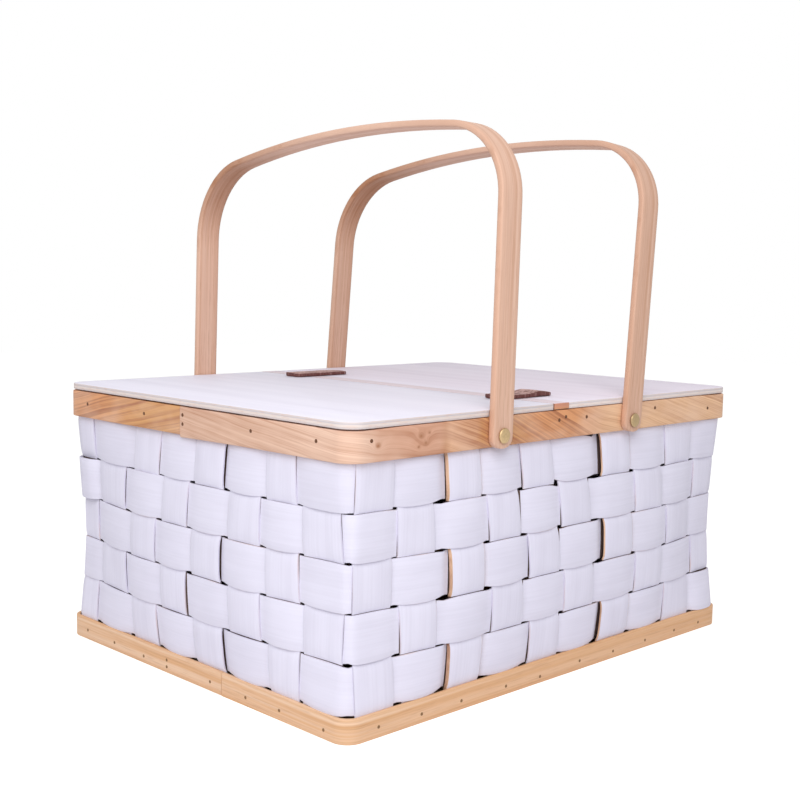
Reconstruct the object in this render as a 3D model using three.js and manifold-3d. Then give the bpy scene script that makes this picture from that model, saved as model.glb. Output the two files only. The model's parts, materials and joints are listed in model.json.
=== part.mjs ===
// Two-lid picnic basket of painted wood splint, with bent-wood swing handles.
// Millimetres, +Z up. The origin is on the ground under the middle of the basket,
// +X runs along the long side and -Y is the front.

import * as THREE from 'three';
import { mergeVertices } from 'three/addons/utils/BufferGeometryUtils.js';
import Module from 'manifold-3d';

const wasm = await Module();
wasm.setup();

// Driving dimensions: the clearance that is kept wherever two pieces touch
const gap = 0.3;

// Rim: an outer and an inner band that clamp the stakes
const rimLength = 400;
const rimDepth = 312;
const rimCorner = 13;
const rimBottom = 165;
const rimHeight = 19.6;
const rimThickness = 4;
const innerRimThickness = 4;
const rimSeamY = 10;

// Foot: a band round the bottom, and the base board that its nails go into
const footHeight = 15.5;
const footThickness = 3;
const footSeamY = -35;
const baseThickness = 6;
const baseLift = 2;
const seamWidth = 0.4;

// Woven wall: flat upright stakes, and weavers that pass over and under them
const longSideStakes = 10;
const shortSideStakes = 8;
const stakeThickness = 1.5;
const stakeSpacing = 5.6;
const stakeLift = 0.6;
const stakeTopInset = 1.2;
const weaverRows = 5;
const weaverThickness = 1.5;
const weaverCrown = 0.8;
const weaveClearance = 0.4;
const rowSpacing = 0.6;

// Lids, and the crossbar between them with a ledge on each side
const lidThickness = 4;
const lidInset = 0.5;
const lidPlay = 0.4;
const crossbarX = -10.5;
const railWidth = 15.5;
const ledgeWidth = 30;
const ledgeHeight = 12;

// Leather hinge straps
const strapMiddleX = -4.5;
const strapLength = 52;
const strapWidth = 18.5;
const strapThickness = 2.6;
const strapCorner = 3;
const strapEndDistances = { front: 43, back: 54 };

// Handles: bent strips on rivets, each with the lean at which it stands
const handlesMiddleX = -4.7;
const handleSpacing = 139.8;
const handleWidth = 19.2;
const handleThickness = 4.5;
const pivotRise = 7.5;
const crownHeight = 198.5;
const crownPeakY = -48;
const crownRadius = 780;
const frontShoulderRadius = 47;
const backShoulderRadius = 59;
const handleLeanDegrees = { left: 1.3, right: 4.4 };

// Rivets
const rivetShaftRadius = 2;
const rivetHeadRadius = 5;
const rivetHeadHeight = 2;
const rivetTailRadius = 4;
const rivetTailHeight = 1.2;

// How finely round stretches are divided
const cornerSteps = 6;
const archSteps = 10;
const rivetSides = 16;
const cornerTurn = Math.PI / 2;
const fullTurn = 4 * cornerTurn;

// Heights and half sizes that follow from the driving dimensions
const rimTop = rimBottom + rimHeight;
const pivotHeight = rimBottom + pivotRise;
const lidBottom = rimTop + gap;
const lidTop = lidBottom + lidThickness;
const strapBottom = lidTop + gap;
const halfLength = rimLength / 2;
const halfDepth = rimDepth / 2;
const stakeInset = rimThickness + gap;
const stakeMiddleInset = stakeInset + stakeThickness / 2;
const innerRimInset = stakeInset + stakeThickness + gap;
const wellInset = innerRimInset + innerRimThickness;
const handleInnerY = halfDepth + gap;
const handleOuterY = handleInnerY + handleThickness;
const handleMiddleY = handleInnerY + handleThickness / 2;
const boreRadius = rivetShaftRadius + gap;
const weaverSwing = (stakeThickness + weaverThickness) / 2 + weaveClearance;
const strapYs = {
  front: strapEndDistances.front - halfDepth,
  back: halfDepth - strapEndDistances.back,
};
const pivotXs = {
  left: handlesMiddleX - handleSpacing / 2,
  right: handlesMiddleX + handleSpacing / 2,
};

// The flat end stakes run a little way into the rim's round corner, where it still clears them
const rimInnerCorner = rimCorner - rimThickness;
const cornerReachShare = 0.7;
const cornerReach = cornerReachShare * Math.sqrt(2 * rimInnerCorner * gap - gap * gap);
const stakeEndX = halfLength - rimCorner + cornerReach;
const stakeEndY = halfDepth - rimCorner + cornerReach;

const paintedSplint = new THREE.MeshStandardMaterial({ color: 0xe4e2ee, roughness: 0.75, metalness: 0 });
const bandWood = new THREE.MeshStandardMaterial({ color: 0xe0b48c, roughness: 0.6, metalness: 0 });
const handleWood = new THREE.MeshStandardMaterial({ color: 0xe4bea0, roughness: 0.55, metalness: 0 });
const lidPlywood = new THREE.MeshStandardMaterial({ color: 0xece6e6, roughness: 0.65, metalness: 0 });
const leather = new THREE.MeshStandardMaterial({ color: 0x7a4640, roughness: 0.7, metalness: 0 });
const brass = new THREE.MeshStandardMaterial({ color: 0xc3af78, roughness: 0.35, metalness: 1 });

const alongX = new THREE.Matrix4().makeBasis(
  new THREE.Vector3(0, 1, 0),
  new THREE.Vector3(0, 0, 1),
  new THREE.Vector3(1, 0, 0),
);
const alongY = new THREE.Matrix4().makeBasis(
  new THREE.Vector3(1, 0, 0),
  new THREE.Vector3(0, 0, 1),
  new THREE.Vector3(0, -1, 0),
);

const basket = new THREE.Group();

function addPiece(parent, name, geometry, material) {
  const mesh = new THREE.Mesh(geometry, material);
  mesh.name = name;
  parent.add(mesh);
  return mesh;
}

// Boolean helpers
function toSolid(geometry) {
  const bare = geometry.clone();
  bare.deleteAttribute('normal');
  bare.deleteAttribute('uv');
  const merged = mergeVertices(bare);
  const vertProperties = Float32Array.from(merged.attributes.position.array);
  const triVerts = Uint32Array.from(merged.index.array);
  return new wasm.Manifold(new wasm.Mesh({ numProp: 3, vertProperties, triVerts }));
}

function toGeometry(solid) {
  const mesh = solid.getMesh();
  const geometry = new THREE.BufferGeometry();
  geometry.setAttribute('position', new THREE.BufferAttribute(mesh.vertProperties, 3));
  geometry.setIndex(new THREE.BufferAttribute(mesh.triVerts, 1));
  geometry.computeVertexNormals();
  return geometry;
}

function subtractAll(geometry, cutters) {
  let solid = toSolid(geometry);
  for (const cutter of cutters) {
    solid = solid.subtract(toSolid(cutter));
  }
  return toGeometry(solid);
}

// Extrusions: up along Z from a height, or centred across Y or X
function extrudeUp(shape, bottom, height) {
  const options = { depth: height, bevelEnabled: false, curveSegments: cornerSteps };
  return new THREE.ExtrudeGeometry(shape, options).translate(0, 0, bottom);
}

function extrudeAcross(shape, matrix, width) {
  const options = { depth: width, bevelEnabled: false, curveSegments: 2 * cornerSteps };
  return new THREE.ExtrudeGeometry(shape, options).translate(0, 0, -width / 2).applyMatrix4(matrix);
}

// One bore right through the basket from front to back, for the two rivets of a handle
function rivetBore(x, height) {
  const bore = new THREE.CylinderGeometry(boreRadius, boreRadius, 2 * rimDepth, rivetSides);
  return bore.translate(x, 0, height);
}

function pivotBores(xs) {
  return xs.map((x) => rivetBore(x, pivotHeight));
}

// A rounded rectangle in plan, at a given inset from the rim's outside
function plan(inset) {
  return {
    x: halfLength - inset,
    y: halfDepth - inset,
    corner: rimCorner - inset,
  };
}

function planShape({ x, y, corner }) {
  const shape = new THREE.Shape();
  shape.moveTo(x, corner - y);
  shape.lineTo(x, y - corner);
  shape.absarc(x - corner, y - corner, corner, 0, cornerTurn);
  shape.absarc(corner - x, y - corner, corner, cornerTurn, 2 * cornerTurn);
  shape.absarc(corner - x, corner - y, corner, 2 * cornerTurn, 3 * cornerTurn);
  shape.absarc(x - corner, corner - y, corner, 3 * cornerTurn, fullTurn);
  return shape;
}

// One strip bent round the basket, with its ends meeting at a seam on the left side
function bandGeometry(outer, inner, seamY, bottom, height, bores) {
  const shape = planShape(outer);
  shape.holes.push(planShape(inner));
  const band = extrudeUp(shape, bottom, height);
  const seam = new THREE.BoxGeometry(rimLength, seamWidth, 2 * (bottom + height));
  seam.translate(-rimLength / 2, seamY, 0);
  return subtractAll(band, [seam, ...bores]);
}

function addBands() {
  const bores = pivotBores(Object.values(pivotXs));
  const outerRim = bandGeometry(plan(0), plan(rimThickness), rimSeamY, rimBottom, rimHeight, bores);
  addPiece(basket, 'outer_rim_band', outerRim, bandWood);
  const innerPlans = [plan(innerRimInset), plan(wellInset)];
  const innerRim = bandGeometry(...innerPlans, -rimSeamY, rimBottom, rimHeight, bores);
  addPiece(basket, 'inner_rim_band', innerRim, bandWood);
  const footPlans = [plan(rimThickness - footThickness), plan(rimThickness)];
  const foot = bandGeometry(...footPlans, footSeamY, 0, footHeight, []);
  addPiece(basket, 'foot_band', foot, bandWood);
  const base = extrudeUp(planShape(plan(innerRimInset)), baseLift, baseThickness);
  addPiece(basket, 'base_board', base, bandWood);
}

// The four sides in the order left, front, right, back, which runs anticlockwise in plan.
// Each has its stakes' count, half run and distance out, the way that it runs and the way
// that it faces.
const stakePlan = plan(stakeMiddleInset);
const shortSide = { count: shortSideStakes, end: stakeEndY, reach: stakePlan.x };
const longSide = { count: longSideStakes, end: stakeEndX, reach: stakePlan.y };
const sides = [
  { name: 'left', along: [0, -1], out: [-1, 0], ...shortSide },
  { name: 'front', along: [1, 0], out: [0, -1], ...longSide },
  { name: 'right', along: [0, 1], out: [1, 0], ...shortSide },
  { name: 'back', along: [-1, 0], out: [0, 1], ...longSide },
];

function stakeWidth(side) {
  return (2 * side.end - (side.count - 1) * stakeSpacing) / side.count;
}

function stakeCentre(side, number) {
  const width = stakeWidth(side);
  return -side.end + width / 2 + number * (width + stakeSpacing);
}

function sidePoint(side, along, out) {
  return new THREE.Vector2(
    side.along[0] * along + side.out[0] * (side.reach + out),
    side.along[1] * along + side.out[1] * (side.reach + out),
  );
}

function addStakes() {
  const bottom = stakeLift;
  const height = rimTop - stakeTopInset - bottom;
  for (const side of sides) {
    const width = stakeWidth(side);
    for (let number = 0; number < side.count; number += 1) {
      const centre = sidePoint(side, stakeCentre(side, number), 0);
      const facesY = side.out[0] === 0;
      const sizeX = facesY ? width : stakeThickness;
      const sizeY = facesY ? stakeThickness : width;
      const box = new THREE.BoxGeometry(sizeX, sizeY, height);
      box.translate(centre.x, centre.y, bottom + height / 2);
      const drilledXs = Object.values(pivotXs).filter(
        (x) => facesY && Math.abs(x - centre.x) < width / 2 + boreRadius,
      );
      const stake = subtractAll(box, pivotBores(drilledXs));
      addPiece(basket, `${side.name}_stake_${number + 1}`, stake, paintedSplint);
    }
  }
}

// A weaver's route in plan: over and under alternate stakes, with a crown over each,
// and a change from one to the other in the spaces and round the corners
function weaverStations(row) {
  const stations = [];
  const cornerAngles = [cornerTurn / 8, cornerTurn / 2, (7 * cornerTurn) / 8];
  let count = 0;
  for (const side of sides) {
    const half = stakeWidth(side) / 2;
    const straightEnd = side.end - cornerReach;
    let swing = 0;
    for (let number = 0; number < side.count; number += 1) {
      const centre = stakeCentre(side, number);
      const outward = (count + row) % 2 === 0 ? 1 : -1;
      swing = outward * weaverSwing;
      const crown = outward * (weaverSwing + weaverCrown);
      const start = Math.max(centre - half, -straightEnd);
      const finish = Math.min(centre + half, straightEnd);
      stations.push({ point: sidePoint(side, start, 0), out: side.out, offset: swing });
      stations.push({ point: sidePoint(side, centre, 0), out: side.out, offset: crown });
      stations.push({ point: sidePoint(side, finish, 0), out: side.out, offset: swing });
      count += 1;
    }
    const pivot = sidePoint(side, straightEnd, -stakePlan.corner);
    cornerAngles.forEach((angle, number) => {
      const out = [
        side.out[0] * Math.cos(angle) + side.along[0] * Math.sin(angle),
        side.out[1] * Math.cos(angle) + side.along[1] * Math.sin(angle),
      ];
      const point = new THREE.Vector2(
        pivot.x + stakePlan.corner * out[0],
        pivot.y + stakePlan.corner * out[1],
      );
      stations.push({ point, out, offset: swing * (1 - number) });
    });
  }
  return stations;
}

function weaverFace(stations, distance) {
  return stations.map(({ point, out, offset }) => new THREE.Vector2(
    point.x + out[0] * (offset + distance),
    point.y + out[1] * (offset + distance),
  ));
}

function addWeavers() {
  const pitch = (rimBottom - footHeight) / weaverRows;
  for (let row = 1; row <= weaverRows; row += 1) {
    const stations = weaverStations(row);
    const shape = new THREE.Shape(weaverFace(stations, weaverThickness / 2));
    shape.holes.push(new THREE.Path(weaverFace(stations, -weaverThickness / 2)));
    const bottom = rimBottom - row * pitch + rowSpacing / 2;
    addPiece(basket, `weaver_row_${row}`, extrudeUp(shape, bottom, pitch - rowSpacing), paintedSplint);
  }
}

// The crossbar: a rail flush with the lids over a wider ledge that stops short of the rim
function addCrossbar() {
  const ledgeBottom = rimTop - ledgeHeight;
  const section = new THREE.Shape();
  section.moveTo(-ledgeWidth / 2, ledgeBottom);
  section.lineTo(ledgeWidth / 2, ledgeBottom);
  section.lineTo(ledgeWidth / 2, rimTop);
  section.lineTo(railWidth / 2, rimTop);
  section.lineTo(railWidth / 2, lidTop);
  section.lineTo(-railWidth / 2, lidTop);
  section.lineTo(-railWidth / 2, rimTop);
  section.lineTo(-ledgeWidth / 2, rimTop);
  const bar = extrudeAcross(section, alongY, rimDepth);
  const ledgeEndY = halfDepth - wellInset - gap;
  const notchDepth = halfDepth;
  const notchHeight = lidBottom - ledgeBottom + gap;
  const notches = [-1, 1].map((end) => {
    const notch = new THREE.BoxGeometry(2 * ledgeWidth, notchDepth, notchHeight);
    return notch.translate(0, end * (ledgeEndY + notchDepth / 2), lidBottom - notchHeight / 2);
  });
  addPiece(basket, 'crossbar', subtractAll(bar, notches).translate(crossbarX, 0, 0), bandWood);
}

// A panel from the crossbar's edge out to a far end with rounded corners, to the left or right
const panelTurns = { left: Math.PI, right: 0 };

function panelGeometry(side, far, half, corner, bottom, height) {
  const near = railWidth / 2 + lidPlay;
  const shape = new THREE.Shape();
  shape.moveTo(near, half);
  shape.lineTo(near, -half);
  shape.absarc(far - corner, corner - half, corner, -cornerTurn, 0);
  shape.absarc(far - corner, half - corner, corner, 0, cornerTurn);
  return extrudeUp(shape, bottom, height).rotateZ(panelTurns[side]).translate(crossbarX, 0, 0);
}

function addLids() {
  const edge = plan(lidInset);
  const farEnds = { left: edge.x + crossbarX, right: edge.x - crossbarX };
  for (const [side, far] of Object.entries(farEnds)) {
    const panel = panelGeometry(side, far, edge.y, edge.corner, lidBottom, lidThickness);
    addPiece(basket, `${side}_lid`, panel, lidPlywood);
  }
}

// A strap is a tab on the crossbar and a flap on each lid, with the fold lines between them
function addStrap(name, y) {
  const tab = new THREE.BoxGeometry(railWidth, strapWidth, strapThickness);
  tab.translate(crossbarX, y, strapBottom + strapThickness / 2);
  addPiece(basket, `${name}_strap_tab`, tab, leather);
  const offset = strapMiddleX - crossbarX;
  const farEnds = { left: strapLength / 2 - offset, right: strapLength / 2 + offset };
  for (const [side, far] of Object.entries(farEnds)) {
    const flap = panelGeometry(side, far, strapWidth / 2, strapCorner, strapBottom, strapThickness);
    addPiece(basket, `${name}_strap_${side}_flap`, flap.translate(0, y, 0), leather);
  }
}

// The middle of a shoulder's bend, from the leg's line into the crown's wide arc
function shoulderCentre(crown, side, radius) {
  const y = side * (handleMiddleY - radius);
  const rise = Math.sqrt((crownRadius - radius) ** 2 - (y - crown.x) ** 2);
  return new THREE.Vector2(y, crown.y + rise);
}

function arcPoints(centre, radius, from, to) {
  const points = [];
  for (let step = 0; step <= archSteps; step += 1) {
    const angle = THREE.MathUtils.lerp(from, to, step / archSteps);
    const arm = new THREE.Vector2(Math.cos(angle), Math.sin(angle));
    points.push(centre.clone().addScaledVector(arm, radius));
  }
  return points;
}

// A handle's arch, at a distance outside its middle line: a leg, a shoulder, the crown with its
// peak towards the front, and a shoulder and a leg again
function archPoints(distance) {
  const crown = new THREE.Vector2(crownPeakY, crownHeight - crownRadius);
  const front = shoulderCentre(crown, -1, frontShoulderRadius);
  const back = shoulderCentre(crown, 1, backShoulderRadius);
  const frontAngle = front.clone().sub(crown).angle();
  const backAngle = back.clone().sub(crown).angle();
  const legY = handleMiddleY + distance;
  return [
    new THREE.Vector2(-legY, -handleWidth),
    ...arcPoints(front, frontShoulderRadius + distance, Math.PI, frontAngle),
    ...arcPoints(crown, crownRadius + distance, frontAngle, backAngle).slice(1),
    ...arcPoints(back, backShoulderRadius + distance, backAngle, 0).slice(1),
    new THREE.Vector2(legY, -handleWidth),
  ];
}

// A handle, with its pivot line on the local Y axis: the arch across Y, cut to round leg ends
function handleGeometry() {
  const clearHeight = 2 * crownHeight;
  const outside = archPoints(handleThickness / 2);
  const inside = archPoints(-handleThickness / 2);
  const arch = extrudeAcross(new THREE.Shape([...outside, ...inside.reverse()]), alongX, handleWidth);
  const outline = new THREE.Shape();
  outline.moveTo(-handleWidth, 0);
  outline.lineTo(-handleWidth / 2, 0);
  outline.absarc(0, 0, handleWidth / 2, 2 * cornerTurn, fullTurn);
  outline.lineTo(handleWidth, 0);
  outline.lineTo(handleWidth, clearHeight);
  outline.lineTo(-handleWidth, clearHeight);
  const envelope = extrudeAcross(outline, alongY, 2 * rimDepth);
  const trimmed = toSolid(arch).intersect(toSolid(envelope));
  return toGeometry(trimmed.subtract(toSolid(rivetBore(0, 0))));
}

function addHandles() {
  for (const [side, x] of Object.entries(pivotXs)) {
    const handle = addPiece(basket, `${side}_handle`, handleGeometry(), handleWood);
    handle.position.set(x, 0, pivotHeight);
    handle.rotation.y = THREE.MathUtils.degToRad(handleLeanDegrees[side]);
  }
}

// A rivet: domed head outside the handle, shaft through the rim, flat tail inside
function rivetGeometry() {
  const tailTop = halfDepth - wellInset - gap;
  const headBottom = handleOuterY + gap;
  const profile = [
    new THREE.Vector2(0, tailTop - rivetTailHeight),
    new THREE.Vector2(rivetTailRadius, tailTop - rivetTailHeight),
    new THREE.Vector2(rivetTailRadius, tailTop),
    new THREE.Vector2(rivetShaftRadius, tailTop),
    new THREE.Vector2(rivetShaftRadius, headBottom),
  ];
  for (let step = 0; step <= cornerSteps; step += 1) {
    const angle = (cornerTurn * step) / cornerSteps;
    const radius = step === cornerSteps ? 0 : rivetHeadRadius * Math.cos(angle);
    profile.push(new THREE.Vector2(radius, headBottom + rivetHeadHeight * Math.sin(angle)));
  }
  return new THREE.LatheGeometry(profile, rivetSides);
}

function addRivets() {
  for (const [side, x] of Object.entries(pivotXs)) {
    for (const [face, turn] of [['front', Math.PI], ['back', 0]]) {
      const rivet = addPiece(basket, `${side}_${face}_rivet`, rivetGeometry(), brass);
      rivet.position.set(x, 0, pivotHeight);
      rivet.rotation.z = turn;
    }
  }
}

addBands();
addStakes();
addWeavers();
addCrossbar();
addLids();
for (const [name, y] of Object.entries(strapYs)) {
  addStrap(name, y);
}
addHandles();
addRivets();

export default basket;
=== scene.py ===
"""A two-lid picnic basket of painted splint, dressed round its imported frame."""

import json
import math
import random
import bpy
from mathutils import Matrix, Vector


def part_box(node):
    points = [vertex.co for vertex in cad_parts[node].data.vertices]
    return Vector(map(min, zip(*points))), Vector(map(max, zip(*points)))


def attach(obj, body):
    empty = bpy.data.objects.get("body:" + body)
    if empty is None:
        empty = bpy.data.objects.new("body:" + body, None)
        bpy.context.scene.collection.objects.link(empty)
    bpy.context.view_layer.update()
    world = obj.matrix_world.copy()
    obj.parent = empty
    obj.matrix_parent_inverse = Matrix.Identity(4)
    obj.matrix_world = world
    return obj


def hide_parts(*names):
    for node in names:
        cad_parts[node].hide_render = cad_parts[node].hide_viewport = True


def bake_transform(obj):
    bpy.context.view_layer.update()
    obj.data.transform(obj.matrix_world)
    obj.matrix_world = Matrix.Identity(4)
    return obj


bl_info = {
    "name": "Splint Picnic Basket",
    "version": (1, 0, 0),
    "blender": (4, 5, 0),
    "location": "View3D > Sidebar > Basket",
    "description": "Weaves, bands, hinges and finishes a two-lid picnic basket",
    "category": "Object",
}

from collections import namedtuple

import bmesh
import bpy
from bpy.props import FloatProperty, FloatVectorProperty, PointerProperty
from mathutils import Matrix, Vector, noise

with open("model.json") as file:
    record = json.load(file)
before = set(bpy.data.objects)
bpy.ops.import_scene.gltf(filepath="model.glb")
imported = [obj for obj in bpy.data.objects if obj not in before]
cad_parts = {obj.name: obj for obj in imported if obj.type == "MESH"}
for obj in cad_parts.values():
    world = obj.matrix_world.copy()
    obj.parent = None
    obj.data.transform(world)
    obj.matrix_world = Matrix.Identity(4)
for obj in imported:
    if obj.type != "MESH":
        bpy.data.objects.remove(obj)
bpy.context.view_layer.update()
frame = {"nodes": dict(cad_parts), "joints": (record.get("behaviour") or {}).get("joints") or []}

MM = 0.001
GRAIN_MAP = "grain"
IMAGE_WIDTH = 800
SENSOR_WIDTH = 36.0
RIGHT_ANGLE = math.pi / 2
UP = Vector((0, 0, 1))

RIM_LOW, RIM_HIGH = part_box("outer_rim_band")
FOOT_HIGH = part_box("foot_band")[1]
LID_LOW, LID_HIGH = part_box("left_lid")

# Places on the photographed basket, in millimetres along each side from its middle.
# The sides run anticlockwise in plan: left to the front, front to the right, and so on.

# Each stake's two edges at half height, and how far on its foot stands from its top
STAKE_PLACES = {
    "left": (
        (-146, -123, 3), (-116, -78, 4), (-69, -38, -4), (-31, -2, -3),
        (5, 36, 0), (44, 74, 3), (80, 107, 5), (111, 143, 3),
    ),
    "front": (
        (-190, -160, 2), (-155, -127, 7), (-115, -86, 4), (-79, -49, 11), (-42, -11, 14),
        (-6, 26, 15), (39, 72, 5), (78, 112, 6), (119, 154, 6), (161, 190, 6),
    ),
}
# Stakes that stand off the weavers they pass over, by how much
LOOSE_STAKES = {
    "front_stake_3": 0.3,
    "front_stake_5": 0.2,
    "front_stake_7": 0.7,
    "left_stake_5": 0.4,
    "left_stake_2": 0.2,
}
# Thicker stakes with bare edges
THICK_STAKES = {"front_stake_3": 2.7, "front_stake_7": 1.3}
# Stakes that the weavers pass deeper behind, by how much
DEEP_STAKES = {
    "front_stake_3": 2.3,
    "front_stake_5": 0.5,
    "front_stake_7": 2.2,
    "left_stake_5": 1.1,
    "left_stake_2": 0.2,
}
# Cells where a weaver stands out further, by row and stake
BULGED_CELLS = {(2, "left_stake_1"): 3.0, (5, "front_stake_10"): 2.0}
# Gaps just before a stake that are wider than the usual ones, each below a row counted from 1,
# or 0 for the gap under the rim
OPEN_CROSSINGS = {
    "front_stake_1": {2: 1.5, 4: 2.0},
    "front_stake_2": {1: 1.2, 3: 1.5, 4: 1.2},
    "front_stake_3": {0: 1.0, 1: 2.0, 2: 1.4, 3: 2.8, 5: 3.0},
    "front_stake_4": {0: 0.8, 2: 1.5, 3: 2.0},
    "front_stake_5": {1: 1.4, 2: 1.6, 3: 1.5},
    "front_stake_6": {1: 4.4, 2: 2.2, 4: 1.8},
    "front_stake_7": {0: 4.0, 1: 2.0, 2: 0.9, 3: 2.0, 5: 3.0},
    "front_stake_8": {1: 1.3, 3: 1.5, 4: 1.4},
    "front_stake_9": {1: 1.3, 3: 0.9},
    "left_stake_2": {3: 1.0},
    "left_stake_4": {2: 0.8},
    "left_stake_5": {1: 0.9, 3: 1.6},
    "left_stake_6": {1: 1.2, 3: 1.5},
    "left_stake_7": {1: 0.8, 3: 0.9, 4: 0.8},
    "left_stake_8": {2: 0.8, 3: 1.0},
}
# Nail heads, each as its run and its height
RIM_NAILS = {
    "left": (
        (-126.3, 175.2), (-52.6, 175.1), (-7.1, 178.4), (-7.1, 172.4), (65.5, 175.3), (127, 175.8),
    ),
    "front": (
        (-183.3, 177.6), (-12.8, 177.6), (-5.8, 179.3), (16.9, 177.8), (98, 178.8), (168.5, 174.1),
    ),
    "right": ((-130, 175), (-55, 176), (10, 175), (64, 174), (128, 176)),
    "back": ((-176, 175), (-98, 177), (-3, 178), (5, 176), (99, 175), (180, 176)),
}
FOOT_NAILS = {
    "left": (
        (-130.2, 7.1), (-93.7, 6), (-55.7, 5.1), (-27.4, 9), (-27.4, 4.3),
        (22.4, 6.4), (60.2, 5.7), (93.8, 6.4), (135.1, 5.8),
    ),
    "front": (
        (-173.2, 6.8), (-137.1, 5.9), (-101.6, 5.9), (-58.9, 5.8), (-24, 4.6),
        (19.3, 6.4), (58.3, 5.3), (98, 5.6), (136.2, 5.8), (169.5, 5.8),
    ),
    "right": ((-132, 6), (-95, 5), (-57, 6), (-20, 7), (18, 6), (56, 5), (96, 6), (131, 6)),
    "back": (
        (-171, 6), (-134, 5), (-97, 6), (-57, 7), (-20, 6),
        (20, 5), (58, 6), (95, 6), (135, 5), (172, 6),
    ),
}
# The rim's wood along its length from the seam: its colour, how far its growth lines have
# leant across it, and how strongly they show
RIM_LENGTH = 1400
RIM_COLOURS = (
    (0, "rim_pale"), (70, "rim_pale"), (130, "rim_light"), (172, "rim_light"), (184, "rim_pink"),
    (232, "rim_pink"), (234, "wood_line"), (236, "rim_warm"), (262, "rim_warm"),
    (267, "rim_orange"), (300, "rim_orange"), (320, "rim_deep"), (362, "rim_deep"),
    (384, "rim_warm"), (405, "rim_yellow"), (545, "rim_yellow"),
    (575, "rim_pale"), (760, "rim_pink"), (900, "rim_yellow"), (1080, "rim_orange"),
    (1215, "rim_pink"), (1250, "rim_deep"), (1290, "rim_deep"), (1345, "rim_orange"),
)
RIM_LEAN = 300
RIM_LEANS = (
    (0, 0), (153, 18), (236, 26), (267, 36), (300, 50), (390, 90), (450, 103), (550, 133),
    (900, 190), (1250, 240), (1390, 208),
)
RIM_LINES = (
    (0, 0.4), (170, 0.35), (236, 0.5), (267, 0.9), (300, 1.0), (355, 1.0), (385, 0.35), (545, 0.45),
    (900, 0.5), (1240, 0.6), (1260, 0.9),
)
# Knots in the rim: length from the seam, height over its middle, and size
RIM_KNOTS = (
    (179, -0.5, 2.2), (214, 2.5, 2.4), (218, -2.0, 2.0), (212, -4.0, 1.2), (221, 4.0, 1.0),
)


def tint(red, green, blue):
    """A screen colour, each part from 0 to 255, as the linear colour that shaders take."""
    linear = []
    for part in (red, green, blue):
        share = part / 255
        linear.append(share / 12.92 if share <= 0.04045 else ((share + 0.055) / 1.055) ** 2.4)
    return tuple(linear)


def colour_property(name, description, shade):
    return FloatVectorProperty(
        name=name, description=description, default=tint(*shade), min=0, max=1, subtype="COLOR"
    )


def length_property(name, description, millimetres):
    return FloatProperty(name=name, description=description, default=millimetres * MM, unit="LENGTH")


def angle_property(name, description, degrees):
    return FloatProperty(
        name=name, description=description, default=math.radians(degrees), subtype="ANGLE"
    )


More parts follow.
